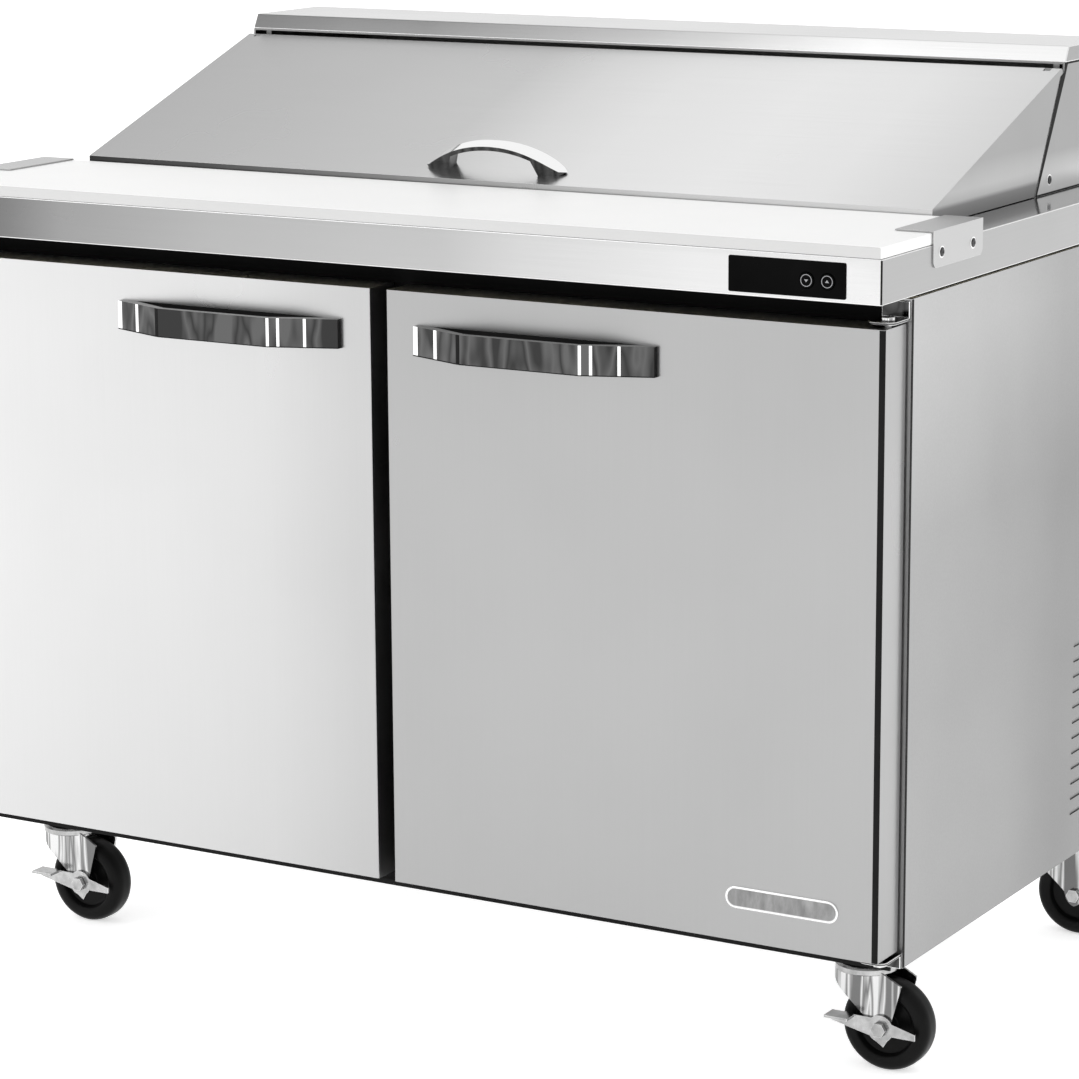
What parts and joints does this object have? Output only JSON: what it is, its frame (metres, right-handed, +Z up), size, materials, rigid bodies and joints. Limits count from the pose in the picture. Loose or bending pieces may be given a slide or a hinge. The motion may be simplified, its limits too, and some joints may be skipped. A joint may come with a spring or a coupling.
{
  "type": "sandwich prep table",
  "caption": "Refrigerated prep table on swivel casters: two hinged doors, a full-width cutting board, and food pans under a hinged sloping lid with a rear hood.",
  "frame": {"origin": "centre of the bounding box's footprint, on the floor", "axes": "+X to the operator's right, -Y towards the operator, +Z up"},
  "size_m": [1.2254, 0.7554, 1.0593],
  "materials": {
    "stainless": "fine satin",
    "polished_steel": "polished",
    "galvanised": "galvanised",
    "aluminium_liner": "satin",
    "board_white": "fine matte",
    "black_plastic": "satin",
    "control_gloss": "gloss",
    "foam": "matte rigid foam",
    "foam_panel": "white skin on rigid foam",
    "gasket_rubber": "matte",
    "zinc_plate": "bright zinc",
    "wheel_black": "semi matte",
    "coil_fins": "finned",
    "copper_tube": "satin",
    "machine_black": "gloss",
    "wire_epoxy": "epoxy coated"
  },
  "bodies": {
    "cabinet": {"side_panels": "stainless", "back_panel": "galvanised", "base_pan": "galvanised", "insulation": "foam", "interior_liner": "aluminium_liner", "front_frame": "black_plastic", "worktop": "stainless", "pan_divider_bars": "stainless", "food_pans": "stainless", "board_brackets": "polished_steel", "hood_shell": "stainless", "hood_cap": "stainless", "panel_screws": "polished_steel", "lid_hinge_pins": "polished_steel", "hinge_brackets": "zinc_plate", "hinge_pins": "zinc_plate", "controller": "control_gloss", "wire_shelves": "wire_epoxy", "shelf_supports": "galvanised", "evaporator_housing": "aluminium_liner", "evaporator_coil": "coil_fins", "fan_motors": "machine_black", "compressor": "machine_black", "condenser_coil": "coil_fins", "refrigerant_lines": "copper_tube", "rear_grille": "galvanised", "power_inlet": "black_plastic", "caster_plates": "zinc_plate", "caster_bolts": "zinc_plate"},
    "lid": {"lid_shell": "stainless", "lid_liner": "foam_panel", "lid_handle": "polished_steel"},
    "door_left": {"door_left_skin": "stainless", "door_left_core": "foam_panel", "door_left_gasket": "gasket_rubber", "door_left_handle": "polished_steel"},
    "door_right": {"door_right_skin": "stainless", "door_right_core": "foam_panel", "door_right_gasket": "gasket_rubber", "door_right_handle": "polished_steel", "door_badge": "polished_steel"},
    "board": {"cutting_board": "board_white"},
    "button_left": {"button_left": "control_gloss"},
    "button_right": {"button_right": "control_gloss"},
    "evaporator_fan": {"evaporator_fan": "black_plastic"},
    "condenser_fan": {"condenser_fan": "black_plastic"},
    "caster_front_left_swivel": {"caster_front_left_fork": "zinc_plate", "caster_front_left_axle": "zinc_plate"},
    "caster_front_left_wheel": {"caster_front_left_wheel": "wheel_black"},
    "caster_front_left_brake": {"caster_front_left_brake": "zinc_plate"},
    "caster_front_right_swivel": {"caster_front_right_fork": "zinc_plate", "caster_front_right_axle": "zinc_plate"},
    "caster_front_right_wheel": {"caster_front_right_wheel": "wheel_black"},
    "caster_front_right_brake": {"caster_front_right_brake": "zinc_plate"},
    "caster_rear_left_swivel": {"caster_rear_left_fork": "zinc_plate", "caster_rear_left_axle": "zinc_plate"},
    "caster_rear_left_wheel": {"caster_rear_left_wheel": "wheel_black"},
    "caster_rear_right_swivel": {"caster_rear_right_fork": "zinc_plate", "caster_rear_right_axle": "zinc_plate"},
    "caster_rear_right_wheel": {"caster_rear_right_wheel": "wheel_black"}
  },
  "joints": [
    {"name": "lid_hinge", "type": "hinge", "parent": "cabinet", "child": "lid", "pos_m": [0, 0.222, 1.031], "axis": [-1, 0, 0], "range_deg": [0, 120]},
    {"name": "door_left_hinge", "type": "hinge", "parent": "cabinet", "child": "door_left", "pos_m": [-0.593, -0.318, 0.491], "axis": [0, 0, -1], "range_deg": [0, 120]},
    {"name": "door_right_hinge", "type": "hinge", "parent": "cabinet", "child": "door_right", "pos_m": [0.593, -0.318, 0.491], "axis": [0, 0, 1], "range_deg": [0, 120]},
    {"name": "board_slide", "type": "slide", "parent": "cabinet", "child": "board", "axis": [0, -1, 0], "range_m": [0, 0.12]},
    {"name": "button_left_press", "type": "slide", "parent": "cabinet", "child": "button_left", "axis": [0, 1, 0], "range_m": [0, 0.001], "stiffness_N_per_m": 1000},
    {"name": "button_right_press", "type": "slide", "parent": "cabinet", "child": "button_right", "axis": [0, 1, 0], "range_m": [0, 0.001], "stiffness_N_per_m": 1000},
    {"name": "evaporator_fan_spin", "type": "hinge", "parent": "cabinet", "child": "evaporator_fan", "pos_m": [0, 0.254, 0.726], "axis": [0, -1, 0], "continuous": true},
    {"name": "condenser_fan_spin", "type": "hinge", "parent": "cabinet", "child": "condenser_fan", "pos_m": [0.214, 0.262, 0.256], "axis": [1, 0, 0], "continuous": true},
    {"name": "caster_front_left_swivel", "type": "hinge", "parent": "cabinet", "child": "caster_front_left_swivel", "pos_m": [-0.532, -0.219, 0.1285], "axis": [0, 0, 1], "continuous": true},
    {"name": "caster_front_left_roll", "type": "hinge", "parent": "caster_front_left_swivel", "child": "caster_front_left_wheel", "pos_m": [-0.504, -0.219, 0.0508], "axis": [0, 1, 0], "continuous": true},
    {"name": "caster_front_left_brake_pedal", "type": "hinge", "parent": "caster_front_left_swivel", "child": "caster_front_left_brake", "pos_m": [-0.504, -0.219, 0.0508], "axis": [0, -1, 0], "range_deg": [0, 18]},
    {"name": "caster_front_right_swivel", "type": "hinge", "parent": "cabinet", "child": "caster_front_right_swivel", "pos_m": [0.532, -0.219, 0.1285], "axis": [0, 0, 1], "continuous": true},
    {"name": "caster_front_right_roll", "type": "hinge", "parent": "caster_front_right_swivel", "child": "caster_front_right_wheel", "pos_m": [0.56, -0.219, 0.0508], "axis": [0, 1, 0], "continuous": true},
    {"name": "caster_front_right_brake_pedal", "type": "hinge", "parent": "caster_front_right_swivel", "child": "caster_front_right_brake", "pos_m": [0.56, -0.219, 0.0508], "axis": [0, -1, 0], "range_deg": [0, 18]},
    {"name": "caster_rear_left_swivel", "type": "hinge", "parent": "cabinet", "child": "caster_rear_left_swivel", "pos_m": [-0.532, 0.316, 0.1285], "axis": [0, 0, 1], "continuous": true},
    {"name": "caster_rear_left_roll", "type": "hinge", "parent": "caster_rear_left_swivel", "child": "caster_rear_left_wheel", "pos_m": [-0.504, 0.316, 0.0508], "axis": [0, 1, 0], "continuous": true},
    {"name": "caster_rear_right_swivel", "type": "hinge", "parent": "cabinet", "child": "caster_rear_right_swivel", "pos_m": [0.532, 0.316, 0.1285], "axis": [0, 0, 1], "continuous": true},
    {"name": "caster_rear_right_roll", "type": "hinge", "parent": "caster_rear_right_swivel", "child": "caster_rear_right_wheel", "pos_m": [0.56, 0.316, 0.0508], "axis": [0, 1, 0], "continuous": true}
  ]
}
